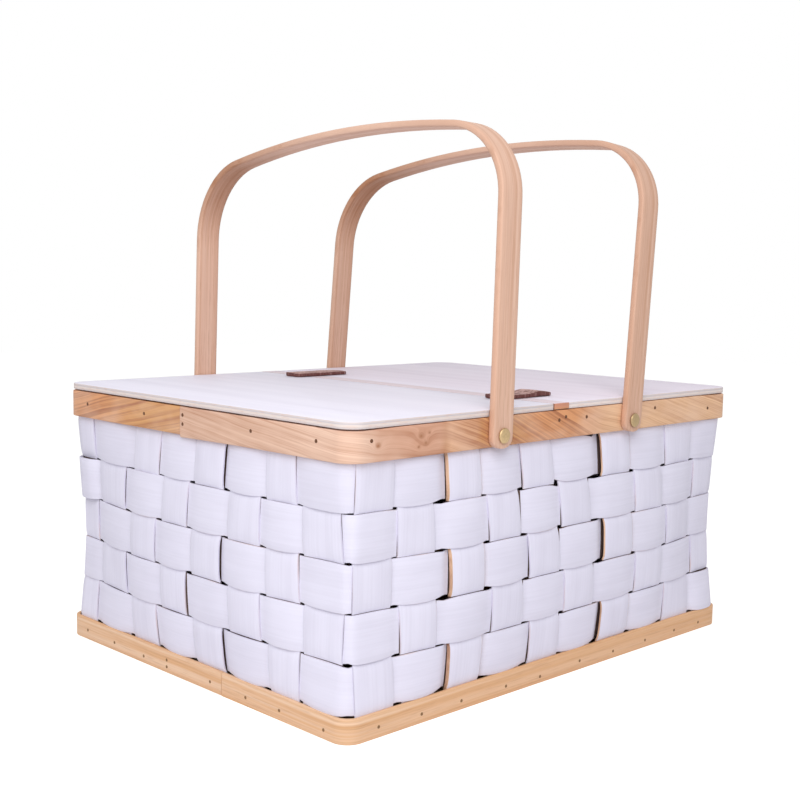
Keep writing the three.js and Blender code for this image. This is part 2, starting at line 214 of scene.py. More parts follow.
class BasketSizes(bpy.types.PropertyGroup):
    """Sizes that the frame's boxes don't give."""

    rim_corner: length_property("Rim corner", "Radius of the rim's outside corners", 13)
    rim_thickness: length_property("Rim thickness", "Thickness of the rim's two bands", 4)
    rim_seam: length_property("Rim seam", "Rim's seam, behind the middle of the left side", 10)
    rim_drop: length_property("Rim drop", "How far the rim's first end hangs low", 1.6)
    rim_lift: length_property("Rim lift", "How far the rim stands higher along the front", 0.5)
    rim_shave: length_property("Rim shave", "How far the rim's top lies below the frame's", 1.0)
    foot_thickness: length_property("Foot thickness", "Thickness of the foot band", 3)
    foot_seam: length_property("Foot seam", "Foot's seam, behind the middle of the left side", -35)
    foot_drop: length_property("Foot drop", "How far the foot band's first end hangs low", 0.2)
    band_rounding: length_property("Band rounding", "Rounding of the bands' edges", 0.7)
    wall_inset: length_property("Wall inset", "Middle of the weave, in from the rim's outside", 4.4)
    belly: length_property("Belly", "How far the middle of each side swells out", 5.0)
    waist: length_property("Waist", "How far the corners draw in at half height", 5.2)
    splint: length_property("Splint", "Thickness of stakes and weavers", 1.1)
    splint_rounding: length_property("Splint rounding", "Rounding of the splints' edges", 0.3)
    weaver_bulge: length_property("Weaver bulge", "How far a weaver stands out over a stake", 1.5)
    weaver_dip: length_property("Weaver dip", "How far a weaver sits in behind a stake", 0.7)
    weaver_droop: length_property("Weaver droop", "How far a weaver hangs lower over a stake", 0.6)
    stake_bulge: length_property("Stake bulge", "How far a stake stands out over a weaver", 0.9)
    stake_dip: length_property("Stake dip", "How far a stake sits in behind a weaver", 0.4)
    foot_gap: length_property("Foot gap", "Gap between the lowest row and the foot band", 1.6)
    lid_rounding: length_property("Lid rounding", "Rounding of the lids' edges", 0.5)
    lid_gap: length_property("Lid gap", "How much wider the gap over the rim is than the frame's", 0.65)
    strap_corner: length_property("Strap corner", "Rounding of the straps' corners", 3)
    strap_hump: length_property("Strap hump", "How far the front strap humps beyond its hinge", 1.3)
    strap_bend: length_property("Strap bend", "Reach of a strap's bend each side of its hinge", 4)
    handle_width: length_property("Handle width", "Width of the handles", 19.2)
    handle_thickness: length_property("Handle thickness", "Thickness of the handles", 4.5)
    handle_rounding: length_property("Handle rounding", "Rounding of the handles' edges", 1.1)
    front_shoulder: length_property("Front shoulder", "Radius of the handles' front shoulders", 47)
    back_shoulder: length_property("Back shoulder", "Radius of the handles' back shoulders", 59)
    crown: length_property("Crown", "Height of the handles' crowns over the pivots", 198.5)
    crown_radius: length_property("Crown radius", "Radius of the handles' crowns", 780)
    crown_peak: length_property("Crown peak", "Place of the crowns' peaks, behind the middle", -48)
    left_lean: angle_property("Left lean", "Lean of the left handle", 1.3)
    right_lean: angle_property("Right lean", "Lean of the right handle", 4.4)
    rivet_head: length_property("Rivet head", "Height of the rivets' heads", 2)
    rivet_shaft: length_property("Rivet shaft", "Radius of the rivets' shafts", 2)
    rivet_tail: length_property("Rivet tail", "Height of the rivets' tails", 1.2)
    rim_nail: length_property("Rim nail", "Radius of the rim's nail heads", 1.2)
    foot_nail: length_property("Foot nail", "Radius of the foot's nail heads", 1.05)
    nail_height: length_property("Nail height", "How far a nail head stands proud", 0.25)


class BasketColours(bpy.types.PropertyGroup):
    """Colours of the basket's finishes."""

    paint: colour_property("Paint", "White wash on the splint", (228, 225, 242))
    paint_worn: colour_property("Worn paint", "Thin wash along the grain", (206, 202, 219))
    splint_bare: colour_property("Bare splint", "Bare wood on the splints' edges", (222, 182, 150))
    # Painted shade: unwashed wood behind the splints, made far darker than bare splint so that the slits
    # and gaps between the splints look dark.
    splint_hidden: colour_property("Hidden splint", "Grimed wood behind the splints", (84, 64, 58))
    # Dark splint: real stains on the splints' edges, and also painted shade on the crossbar's long sides.
    splint_dark: colour_property("Dark splint", "Stained wood on the splints' edges", (150, 104, 82))
    rim_pale: colour_property("Rim, pale", "Pale wood of the rim", (224, 186, 163))
    rim_light: colour_property("Rim, light", "Lightest wood of the rim", (238, 202, 180))
    rim_pink: colour_property("Rim, pink", "Pinkish wood of the rim", (216, 167, 141))
    rim_warm: colour_property("Rim, warm", "Warm wood of the rim", (228, 179, 143))
    rim_yellow: colour_property("Rim, yellow", "Yellowish wood of the rim", (240, 197, 158))
    rim_orange: colour_property("Rim, orange", "Orange wood of the rim", (218, 163, 107))
    rim_deep: colour_property("Rim, deep", "Deep orange wood of the rim", (223, 158, 109))
    wood_line: colour_property("Wood lines", "Growth lines of the bands", (168, 106, 70))
    foot_pale: colour_property("Foot, pale", "Pale wood of the foot band", (234, 198, 167))
    foot_deep: colour_property("Foot, deep", "Deep wood of the foot band", (218, 168, 122))
    handle_pale: colour_property("Handle, pale", "Pale wood of the handles", (226, 188, 167))
    handle_deep: colour_property("Handle, deep", "Deep wood of the handles", (212, 168, 143))
    # Brown of the handles' darker places near their back shoulders, also used for the woods' lines, specks
    # and knots.
    handle_scorch: colour_property("Handle, scorch", "Wood browned where it was bent", (166, 112, 78))
    rail: colour_property("Rail", "Reddish wood of the crossbar's ends", (202, 138, 114))
    rail_wash: colour_property("Rail wash", "Thin wash on the crossbar", (230, 217, 226))
    lid_wash: colour_property("Lid wash", "White wash on the lids", (243, 240, 254))
    lid_pink: colour_property("Lid, pink", "Pinkish wash on the right lid", (238, 227, 240))
    ply_pale: colour_property("Ply, pale", "Pale plies on the lids' edges", (232, 219, 213))
    # Grey of the lids' edges, in a band near their top and at half strength towards their bottom.
    ply_grey: colour_property("Ply, grey", "Grey ply on the lids' edges", (196, 188, 194))
    # Painted sheen: the straps' face colour is paler than the leather itself, standing in for the light it
    # catches at a grazing angle.
    leather: colour_property("Leather", "Napped face of the straps", (216, 180, 174))
    leather_dark: colour_property("Dark leather", "Cut edge of the straps", (96, 50, 46))
    brass: colour_property("Brass", "Rivets", (210, 182, 138))
    rim_nail: colour_property("Rim nails", "Nail heads in the rim", (112, 72, 46))
    foot_nail: colour_property("Foot nails", "Nail heads in the foot band", (150, 112, 74))


class BasketStage(bpy.types.PropertyGroup):
    """Camera, light and floor."""

    camera_place: FloatVectorProperty(
        name="Camera", description="Where the camera stands", subtype="TRANSLATION", unit="LENGTH",
        default=(-0.66302, -0.66845, 0.27300),
    )
    camera_heading: angle_property("Heading", "Camera's turn from +Y towards +X", 44.3965)
    camera_pitch: angle_property("Pitch", "How far the camera looks down", 5.8298)
    camera_roll: angle_property("Roll", "Camera's roll", 0.98387)
    focal_pixels: FloatProperty(
        name="Focal length", description="Focal length in pixels of the image", default=1244.12
    )
    sky: FloatProperty(name="Sky", description="Light from all round", default=0.54, min=0)
    key: FloatProperty(name="Key", description="Power of the soft lamp", default=12.7, unit="POWER")
    key_place: FloatVectorProperty(
        name="Key place", description="Where the soft lamp hangs", subtype="TRANSLATION", unit="LENGTH",
        default=(-0.85, -0.75, 1.0),
    )
    key_size: FloatProperty(
        name="Key size", description="Width of the soft lamp", default=1.0, unit="LENGTH"
    )
    floor: colour_property("Floor", "Floor under the basket", (240, 240, 240))
    floor_glow: FloatProperty(
        name="Floor glow", description="White added to the floor where seen", default=0.55
    )


# Shader expressions


class Field:
    """A socket that takes part in Python expressions, each of which adds a Math node."""

    def __init__(self, graph, socket):
        self.graph = graph
        self.socket = socket

    def math(self, operation, first, second=0.0):
        return self.graph.node("ShaderNodeMath", {"operation": operation}, {0: first, 1: second})

    def __add__(self, other):
        return self.math("ADD", self, other)

    __radd__ = __add__

    def __sub__(self, other):
        return self.math("SUBTRACT", self, other)

    def __rsub__(self, other):
        return self.math("SUBTRACT", other, self)

    def __mul__(self, other):
        return self.math("MULTIPLY", self, other)

    __rmul__ = __mul__

    def __truediv__(self, other):
        return self.math("DIVIDE", self, other)

    def __rtruediv__(self, other):
        return self.math("DIVIDE", other, self)

    def above(self, other):
        return self.math("MAXIMUM", self, other)


class Graph:
    """The nodes of one material, or of the world."""

    def __init__(self, owner):
        owner.use_nodes = True
        self.owner = owner
        self.tree = owner.node_tree
        self.tree.nodes.clear()

    def node(self, kind, settings, inputs, output=0):
        """Adds a node: its settings first, then the values or links of its sockets."""
        made = self.tree.nodes.new(kind)
        for key, value in settings.items():
            if key == "stops":
                self.set_stops(made.color_ramp.elements, value)
            else:
                setattr(made, key, value)
        for key, value in inputs.items():
            if isinstance(value, Field):
                self.tree.links.new(value.socket, made.inputs[key])
            else:
                made.inputs[key].default_value = value
        return Field(self, made.outputs[output]) if made.outputs else None

    @staticmethod
    def set_stops(elements, stops):
        while len(elements) < len(stops):
            elements.new(1)
        for element, (place, shade) in zip(elements, stops):
            element.position = place
            element.color = (*shade, 1) if isinstance(shade, tuple) else (shade, shade, shade, 1)

    def grain(self):
        """Length along the grain and place across it, in metres."""
        place = self.node("ShaderNodeUVMap", {"uv_map": GRAIN_MAP}, {})
        return self.parts(place)[:2]

    def place(self):
        """Place on the piece, in metres."""
        return self.parts(self.node("ShaderNodeTexCoord", {}, {}, "Object"))

    def parts(self, vector):
        return [self.node("ShaderNodeSeparateXYZ", {}, {0: vector}, axis) for axis in "XYZ"]

    def noise(self, x, y, z=0.0, detail=3.0, roughness=0.55):
        """Noise from 0 to 1 at a place that already has its scale."""
        place = self.node("ShaderNodeCombineXYZ", {}, {0: x, 1: y, 2: z})
        sockets = {"Vector": place, "Scale": 1.0, "Detail": detail, "Roughness": roughness}
        return self.node("ShaderNodeTexNoise", {}, sockets)

    def ramp(self, value, *stops):
        return self.node("ShaderNodeValToRGB", {"stops": stops}, {0: value})

    def mix(self, share, first, second):
        shades = [shade if isinstance(shade, Field) else (*shade, 1) for shade in (first, second)]
        sockets = {0: share, 6: shades[0], 7: shades[1]}
        return self.node("ShaderNodeMix", {"data_type": "RGBA"}, sockets, 2)

    def bump(self, height, distance):
        return self.node("ShaderNodeBump", {}, {"Strength": 1.0, "Distance": distance, "Height": height})

    def done(self, **sockets):
        """Joins the sockets to the surface shader and returns the material."""
        inputs = {}
        for key, value in sockets.items():
            name = key.replace("_", " ").title()
            inputs[name] = value if isinstance(value, (Field, float)) else (*value, 1)
        surface = self.node("ShaderNodeBsdfPrincipled", {}, inputs)
        self.node("ShaderNodeOutputMaterial", {"target": "ALL"}, {"Surface": surface})
        return self.owner


def colours():
    return bpy.context.scene.basket_colours


def sizes():
    return bpy.context.scene.basket_sizes


def finish(make):
    """The material that a function makes, made the first time that it is asked for."""
    name = f"basket_{make.__name__}"
    return bpy.data.materials.get(name) or make(Graph(bpy.data.materials.new(name)))


# Finishes

# Noise takes its waves for each metre along and across the grain, and a third number that picks
# which stretch of the noise is used.
RIM_BOW = 13
RIM_WANDER = 7 * MM
WOOD_WANDER = 4 * MM
KNOT_STRETCH = 0.6
KNOT_PUSH = 4
FOOT_FADE = 125 * MM
BROWN_BACK = 160 * MM
BROWN_BOTTOM = 290 * MM
BROWN_RISE = 90 * MM
MIDDLE_WIDTH = 200 * MM
TARNISH_SHADE = 0.62
RUST_SHADE = 0.5


def on_right(graph, x, blur):
    """A mask that is 1 to the right of the basket's middle, with a blurred boundary."""
    return graph.ramp(x / MIDDLE_WIDTH + 0.5, (0.5 - blur, 0), (0.5 + blur, 1))


def darker(shade, share):
    return tuple(part * share for part in shade)


def washed(graph, streaks):
    """White wash over splint, thinner in streaks along the grain."""
    along, across = graph.grain()
    fibre = graph.noise(along * 14, across * 620)
    broad = graph.noise(along * 6, across * 160, 3.7)
    patch = graph.noise(along * 22, across * 45, 9.1, 2.0)
    worn = graph.ramp(fibre * 0.55 + broad * 0.45, (0.42, 0), (0.72, 1))
    mottle = graph.ramp(patch, (0.35, 0), (0.75, 1))
    colour = graph.mix(worn * streaks + mottle * 0.25, colours().paint, colours().paint_worn)
    relief = fibre * 0.6 + broad * 0.4
    return graph.done(
        base_color=colour, roughness=0.6 + 0.16 * broad, normal=graph.bump(relief, 0.1 * MM)
    )


def weaver_wash(graph):
    return washed(graph, 0.3)


def stake_wash(graph):
    return washed(graph, 0.34)


def painted_edge(graph):
    """The splints' cut edges, where the wash is thin in places."""
    along, across = graph.grain()
    bare = graph.ramp(graph.noise(along * 25, across * 40, 5.3), (0.5, 0), (0.75, 0.45))
    colour = graph.mix(bare, colours().paint_worn, colours().splint_bare)
    return graph.done(base_color=colour, roughness=0.8)


def bare_edge(graph):
    """Edges that the wash missed: bare wood, stained in places."""
    along, across = graph.grain()
    stain = graph.ramp(graph.noise(along * 40, across * 900, 5.3), (0.42, 0), (0.72, 1))
    colour = graph.mix(stain, colours().splint_bare, colours().splint_dark)
    return graph.done(base_color=colour, roughness=0.75)


def hidden_splint(graph):
    """Wood that the wash never reached, where splints pass behind one another, made far darker than bare
    splint as painted shade for the slits and gaps it shows through.
    """
    return graph.done(base_color=colours().splint_hidden, roughness=0.9)


def along_rim(stops):
    """Stops that are given in millimetres from the rim's seam, as shares of its length."""
    return [(length / RIM_LENGTH, shade) for length, shade in stops]


def rim_wood(graph):
    """The rim: stretches of pink and orange wood, with growth lines that lean across them."""
    along, across = graph.grain()
    bow = across * across * RIM_BOW
    length = (along + bow) / (RIM_LENGTH * MM)
    shades = [(stop, tuple(getattr(colours(), name))) for stop, name in along_rim(RIM_COLOURS)]
    wood = graph.ramp(length, *shades)
    leans = [(stop, lean / RIM_LEAN) for stop, lean in along_rim(RIM_LEANS)]
    lean = graph.ramp(length, *leans) * (RIM_LEAN * MM)
    strength = graph.ramp(length, *along_rim(RIM_LINES))
    rings = across + lean + graph.noise(along * 9, across * 30, 1.9, 2.0) * RIM_WANDER
    pith = 0.0
    for knot_along, knot_height, radius in RIM_KNOTS:
        run = (along - knot_along * MM) / (radius * MM)
        rise = (across - knot_height * MM) / (radius * MM)
        near = 1 / (1 + run * run * KNOT_STRETCH + rise * rise)
        rings = rings + near * (radius * KNOT_PUSH * MM)
        pith = near * near * near + pith
    fine = graph.noise(along * 8, rings * 620, 4.4, 4.0)
    broad = graph.noise(along * 2, rings * 300, 8.1, 2.0)
    hair = graph.noise(along * 16, rings * 1500, 3.3)
    fibre = graph.noise(along * 35, across * 800, 2.7)
    narrow = graph.ramp(fine, (0.46, 0), (0.59, 1))
    wide = graph.ramp(broad, (0.45, 0), (0.6, 1))
    thin = graph.ramp(hair, (0.47, 0), (0.62, 1))
    lines = (narrow * 0.5 + wide * 0.5) * strength + thin * 0.2
    tone = graph.noise(along * 30, across * 60, 6.2, 2.0)
    shaded = graph.mix(lines + fibre * 0.12, wood, colours().wood_line)
    lighter = graph.mix(graph.ramp(tone, (0.4, 0), (0.8, 0.45)), shaded, colours().rim_light)
    knotted = graph.mix(pith, lighter, colours().handle_scorch)
    relief = graph.bump(fine * 0.5 + fibre * 0.5, 0.08 * MM)
    return graph.done(base_color=knotted, roughness=0.5 + 0.2 * fibre, normal=relief)


def plain_wood(graph, pale, deep, lines_strength, browning=0.0):
    """Straight-grained wood: broad streaks of two tones and fine lines along them."""
    along, across = graph.grain()
    wander = graph.noise(along * 7, 0.0, 1.3, 2.0) * WOOD_WANDER
    streak = graph.noise(along * 2.5, (across + wander) * 330, 4.4, 2.0)
    fine = graph.noise(along * 9, (across + wander) * 700, 7.7)
    fibre = graph.noise(along * 50, across * 1100, 0.6)
    tone = graph.ramp(streak, (0.36, 0), (0.66, 1))
    wood = graph.mix(tone, pale, deep)
    specks = graph.ramp(fibre, (0.54, 0), (0.68, 0.22))
    lines = graph.ramp(fine, (0.48, 0), (0.74, 1)) * lines_strength
    wood = graph.mix(lines + specks + browning * (0.35 + streak), wood, colours().handle_scorch)
    relief = graph.bump(fine * 0.6 + fibre * 0.4, 0.07 * MM)
    return graph.done(base_color=wood, roughness=0.5 + 0.2 * fibre, normal=relief)


def foot_wood(graph):
    """The foot: pale along the left side, more golden along the front."""
    x = graph.place()[0]
    golden = graph.ramp((x - RIM_LOW[0]) / FOOT_FADE, (0, 0), (1, 0.5))
    pale = graph.mix(golden, colours().foot_pale, colours().foot_deep)
    return plain_wood(graph, pale, colours().foot_deep, 0.22)


def handle_wood(graph):
    """The handles: pinkish wood, browner over the back shoulders and the back of the crowns, and a little
    browner along the back legs and along the right handle.
    """
    x, y, z = graph.place()
    back = graph.ramp(y / BROWN_BACK, (0.3, 0), (0.75, 1), (1.0, 0.6))
    bend = graph.ramp((z - BROWN_BOTTOM) / BROWN_RISE, (0.0, 0), (0.4, 1))
    browning = back * bend * 0.75 + back * 0.1 + on_right(graph, x, 0.05) * 0.17
    return plain_wood(graph, colours().handle_pale, colours().handle_deep, 0.3, browning)


def board_wood(graph):
    return plain_wood(graph, colours().foot_deep, colours().rim_warm, 0.35)


def rail_end(graph):
    return plain_wood(graph, colours().rail, colours().rim_deep, 0.4)


def rail_side(graph):
    """The crossbar's long sides, in the gaps beside the lids, given the dark splint colour as painted
    shade.
    """
    return graph.done(base_color=colours().splint_dark, roughness=0.9)


def rail_wash(graph):
    """The crossbar's top: thin wash that lets the wood tint it."""
    along, across = graph.grain()
    fibre = graph.noise(along * 20, across * 900)
    worn = graph.ramp(fibre, (0.45, 0), (0.8, 0.3))
    colour = graph.mix(worn, colours().rail_wash, colours().rim_pink)
    return graph.done(base_color=colour, roughness=0.7, normal=graph.bump(fibre, 0.06 * MM))


def lid_face(graph):
    """White wash on the lids' faces, with the grain showing faintly."""
    along, across = graph.grain()
    fibre = graph.noise(along * 9, across * 500)
    broad = graph.noise(along * 3, across * 60, 2.2)
    patch = graph.noise(along * 12, across * 18, 5.9, 2.0)
    worn = graph.ramp(fibre * 0.4 + broad * 0.6, (0.45, 0), (0.8, 1))
    right = on_right(graph, across, 0.1)
    wash = graph.mix(right * 0.55 + right * broad * 0.5, colours().lid_wash, colours().lid_pink)
    colour = graph.mix(worn * 0.3 + patch * 0.12, wash, colours().paint_worn)
    return graph.done(
        base_color=colour, roughness=0.55 + 0.15 * broad, normal=graph.bump(fibre, 0.05 * MM)
    )


def ply_edge(graph):
    """The lids' cut edges, under thin wash: pale, with grey in a band near the top and half grey towards
    the bottom.
    """
    along, across = graph.grain()
    waver = graph.noise(along * 50, across * 60) * 0.16
    height = (across - LID_LOW[2]) / (LID_HIGH[2] - LID_LOW[2]) + waver
    grey = graph.ramp(height, (0.28, 0.5), (0.34, 0.05), (0.62, 0.1), (0.72, 0.9), (0.95, 0.4))
    stain = graph.ramp(graph.noise(along * 160, across * 900, 6.6), (0.52, 0), (0.75, 0.4))
    colour = graph.mix(grey, colours().ply_pale, colours().ply_grey)
    return graph.done(base_color=graph.mix(stain, colour, colours().rim_pink), roughness=0.75)


def strap_face(graph):
    """The straps' napped face: the leather's own colour, made pale as a painted sheen for the light that
    the face catches at a grazing angle.
    """
    along, across = graph.grain()
    nap = graph.noise(along * 600, across * 450, 0.3, 4.0, 0.7)
    patch = graph.noise(along * 120, across * 120, 4.1)
    dark = graph.ramp(nap * 0.7 + patch * 0.3, (0.42, 0), (0.58, 0.9))
    colour = graph.mix(dark, colours().leather, colours().leather_dark)
    return graph.done(base_color=colour, roughness=0.9, normal=graph.bump(nap, 0.35 * MM))


def strap_edge(graph):
    """The straps' cut edge."""
    along, across = graph.grain()
    fibre = graph.noise(along * 700, across * 1500, 8.8, 4.0)
    pale = graph.ramp(fibre, (0.5, 0), (0.85, 0.6))
    colour = graph.mix(pale, colours().leather_dark, colours().leather)
    return graph.done(base_color=colour, roughness=0.85, normal=graph.bump(fibre, 0.15 * MM))


def worn_brass(graph):
    """Dull brass, mottled with tarnish."""
    x, y, z = graph.place()
    mottle = graph.noise(x * 700, y * 700, z * 700, 4.0)
    dull = darker(colours().brass, TARNISH_SHADE)
    colour = graph.mix(mottle + on_right(graph, x, 0.05) * 0.45, colours().brass, dull)
    return graph.done(
        base_color=colour, metallic=0.85, roughness=0.36 + 0.2 * mottle,
        normal=graph.bump(mottle, 0.05 * MM),
    )


def rusty(graph, shade):
    """A nail head, specked with rust."""
    x, y, z = graph.place()
    rust = graph.noise(x * 1500, y * 1500, z * 1500)
    colour = graph.mix(rust, shade, darker(shade, RUST_SHADE))
    return graph.done(base_color=colour, metallic=0.05, roughness=0.75)


def rim_nail(graph):
    return rusty(graph, colours().rim_nail)


def foot_nail(graph):
    return rusty(graph, colours().foot_nail)


# Mesh helpers

CREASE = math.radians(50)
FACE_DIVISIONS = 4
# Kinds of face, by their place in a piece's list of materials
FACE, EDGE, HIDDEN = range(3)


def add_piece(name, mesh):
    piece = bpy.data.objects.new(name, mesh)
    bpy.context.scene.collection.objects.link(piece)
    return piece


def stands_for(piece, body, slot, *nodes):
    """A piece that rides on one body, in place of the frame's nodes."""
    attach(piece, body)
    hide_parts(*nodes)


def finished_mesh(name, points, faces, grain, slots, materials):
    """A smooth mesh with its grain map, and a material for each face."""
    mesh = bpy.data.meshes.new(name)
    mesh.from_pydata(points, [], faces)
    layer = mesh.uv_layers.new(name=GRAIN_MAP)
    for corner, place in zip(layer.data, grain):
        corner.uv = place
    for material in materials:
        mesh.materials.append(material)
    for polygon, slot in zip(mesh.polygons, slots):
        polygon.material_index = slot
        polygon.use_smooth = True
    shell = bmesh.new()
    shell.from_mesh(mesh)
    bmesh.ops.recalc_face_normals(shell, faces=shell.faces)
    shell.to_mesh(mesh)
    shell.free()
    mesh.set_sharp_from_angle(angle=CREASE)
    return add_piece(name, mesh)


def strip_section(low, high, thickness, rounding, crown=0.0, divisions=FACE_DIVISIONS):
    """A strip's outline as (across, out, kind of face): its outer face, an edge, inner face, edge.

    The crown raises both faces in the middle.
    """
    middle = (low + high) / 2
    half_width = (high - low) / 2
    half = thickness / 2
    flat = half_width - rounding
    bend = rounding * math.sqrt(0.5)
    level = half - rounding
    outline = []
    for face in (1, -1):
        for step in range(divisions + 1):
            across = face * flat * (2 * step / divisions - 1)
            rise = crown * (1 - (across / half_width) ** 2)
            outline.append((middle + across, face * half + rise, EDGE if step == divisions else FACE))
        outline.append((middle + face * (flat + bend), face * (level + bend), EDGE))
        outline.append((middle + face * half_width, face * level, EDGE))
        outline.append((middle + face * half_width, -face * level, EDGE))
        outline.append((middle + face * (flat + bend), -face * (level + bend), EDGE))
    return outline


def loft(name, rings, lengths, sections, materials, closed=False):
    """A solid through rings of points, with its grain along it and a material for each kind of face."""
    around = len(sections[0])
    last = len(materials) - 1
    points = [point for ring in rings for point in ring]
    faces, grain, slots = [], [], []
    steps = len(rings) if closed else len(rings) - 1
    for step in range(steps):
        ahead = (step + 1) % len(rings)
        here, there = sections[step], sections[ahead]
        for index in range(around):
            beside = (index + 1) % around
            row, next_row = step * around, ahead * around
            faces.append((row + index, row + beside, next_row + beside, next_row + index))
            grain.append((lengths[step], here[index][0]))
            grain.append((lengths[step], here[beside][0]))
            grain.append((lengths[step + 1], there[beside][0]))
            grain.append((lengths[step + 1], there[index][0]))
            slots.append(min(here[index][2], last))
    if not closed:
        ends = ((0, range(around - 1, -1, -1)), (len(rings) - 1, range(around)))
        for step, order in ends:
            faces.append(tuple(step * around + index for index in order))
            grain.extend(sections[step][index][:2] for index in order)
            slots.append(min(EDGE, last))
    return finished_mesh(name, points, faces, grain, slots, materials)


def run_lengths(points, closed=False):
    """Length along a line of points, from 0 at the first."""
    lengths = [0.0]
    for before, after in zip(points, points[1:] + points[:1]):
        lengths.append(lengths[-1] + (after - before).length)
    return lengths if closed else lengths[:-1]


def wavy(x, y, z=0.0):
    """Smooth unevenness from -1 to 1 that is the same each run."""
    return noise.noise(Vector((x, y, z)))


def clamp(share):
    return min(max(share, 0.0), 1.0)


def between(first, second, share):
    return first + (second - first) * share


def swelling(share, quickness=1.4):
    """A rise from 0 to 1, level over the middle, and a fall; the quicker, the longer level."""
    return 1 - (1 - math.sin(math.pi * clamp(share))) ** quickness


# The wall's plan

Side = namedtuple("Side", "name along out reach straight stakes")
Stake = namedtuple("Stake", "name count start end lean")

SIDE_WAYS = (
    ("left", Vector((0, -1, 0)), Vector((-1, 0, 0))),
    ("front", Vector((1, 0, 0)), Vector((0, -1, 0))),
    ("right", Vector((0, 1, 0)), Vector((1, 0, 0))),
    ("back", Vector((-1, 0, 0)), Vector((0, 1, 0))),
)
STAKE_STRAY = 2.0 * MM


def wall_corner():
    return sizes().rim_corner - sizes().wall_inset


def half_run(straight):
    """Half a side's length, to the middle of its corners."""
    return straight + wall_corner() * RIGHT_ANGLE / 2


def side_stakes(side, along, first_count):
    """A side's stakes: their edges as read, or else the frame's with a little stray."""
    names = [name for name in frame["nodes"] if name.startswith(f"{side}_stake_")]
    stakes = []
    for index in range(len(names)):
        name = f"{side}_stake_{index + 1}"
        count = first_count + index
        if side in STAKE_PLACES:
            place = [part * MM for part in STAKE_PLACES[side][index]]
        else:
            uneven = random.Random(count)
            edges = sorted(Vector(corner).dot(along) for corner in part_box(name))
            place = [edge + uneven.uniform(-STAKE_STRAY, STAKE_STRAY) for edge in (*edges, 0)]
        stakes.append(Stake(name, count, *place))
    return stakes


def wall_sides():
    """The four sides, anticlockwise from the left."""
    sides = []
    count = 0
    for name, along, out in SIDE_WAYS:
        reach = max(abs(RIM_HIGH[axis] * out[axis]) for axis in range(2))
        other = max(abs(RIM_HIGH[axis] * along[axis]) for axis in range(2))
        stakes = side_stakes(name, along, count)
        sides.append(Side(name, along, out, reach, other - sizes().rim_corner, stakes))
        count += len(stakes)
    return sides


def wall_point(side, run, inset, out=0.0):
    """A point on one side, that far along it and in from the rim, and on round the corner."""
    past = abs(run) - side.straight
    if past <= 0:
        return side.along * run + side.out * (side.reach - inset + out)
    ahead = math.copysign(1, run)
    angle = past / wall_corner()
    away = side.out * math.cos(angle) + side.along * (ahead * math.sin(angle))
    centre = side.along * (ahead * side.straight) + side.out * (side.reach - sizes().rim_corner)
    return centre + away * (sizes().rim_corner - inset + out)


# The woven wall

CELL_STEPS = 10
HIDDEN_REACH = 0.4
STAKE_STEP = 3 * MM
WEAVER_WANDER = 0.35 * MM
WEAVER_CROWN = 0.3 * MM
STAKE_CROWN = 0.3
STAKE_QUICKNESS = 3.0
LOOSE_QUICKNESS = 5.0
STAKE_WANDER = 0.5 * MM
# Waves of the splints' unevenness, and how far apart neighbours are in it
WEAVER_WAVES = 0.7
WEAVER_APART = 5.3
STAKE_WAVES = 30
STAKE_APART = 3.7
BULGE_STRAY = (0.85, 1.15)
CORNER_REACH = 100 * MM
# The wall's swell is this full at the foot, and loses this much towards the rim
SWELL_LOW = 1.25
SWELL_LOSS = 0.5
SMALL_GAPS = (0.05 * MM, 0.7 * MM)
FAR_GAPS = (-0.3 * MM, 0.15 * MM)


def weave_rows():
    """The rows of the weave from the top, each as its lower and upper edge."""
    count = sum(1 for name in frame["nodes"] if name.startswith("weaver_row_"))
    boxes = [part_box(f"weaver_row_{row}") for row in range(1, count + 1)]
    return [(low[2], high[2]) for low, high in boxes]


def is_over(stake, row):
    """Whether the weaver of a row, counted from 1, passes outside a stake."""
    return (stake.count + row) % 2 == 0


def up_the_wall(height):
    return (height - FOOT_HIGH[2]) / (RIM_LOW[2] - FOOT_HIGH[2])


def drawn_in(side, run, height):
    """How far the wall draws in at its corners, or swells out along its sides."""
    share = clamp(up_the_wall(height))
    inner = clamp((half_run(side.straight) - abs(run)) / CORNER_REACH)
    eased = inner * inner * (3 - 2 * inner)
    profile = math.sin(math.pi * share) * (SWELL_LOW - SWELL_LOSS * share)
    return profile * between(sizes().waist, -sizes().belly, eased)


def wall_vertex(side, run, out, height):
    inset = sizes().wall_inset + drawn_in(side, run, height)
    return wall_point(side, run, inset, out) + UP * height


def stake_edges(stake, height):
    """A stake's two edges at a height."""
    shift = stake.lean * (0.5 - up_the_wall(height))
    return stake.start + shift, stake.end + shift


def cell_bounds(side, index, height):
    """Where a weaver passes between this stake and the ones before and after it."""
    edges = [stake_edges(stake, height) for stake in side.stakes]
    bounds = [-half_run(side.straight), half_run(side.straight)]
    if index > 0:
        bounds[0] = (edges[index - 1][1] + edges[index][0]) / 2
    if index < len(edges) - 1:
        bounds[1] = (edges[index][1] + edges[index + 1][0]) / 2
    return bounds


def crossing_gap(stake, row, rows):
    """The gap below a row where its weaver passes between two stakes, just before this one."""
    opened = OPEN_CROSSINGS.get(stake.name, {})
    if row in opened:
        return opened[row] * MM
    if row == 0:
        return 0.0
    if row == len(rows):
        return sizes().foot_gap
    seen = stake.name.startswith(("left", "front"))
    chance = random.Random(stake.count * 10 + row).random()
    return between(*(SMALL_GAPS if seen else FAR_GAPS), chance)


def cell_shares(start, stop, edges):
    """Places across a cell, as shares of it, that fall on the edges of its stake."""
    low, high = ((edge - start) / (stop - start) for edge in edges)
    inner = [between(low, high, step / CELL_STEPS) for step in range(CELL_STEPS + 1)]
    return [0.0, low / 2, *inner, (1 + high) / 2]


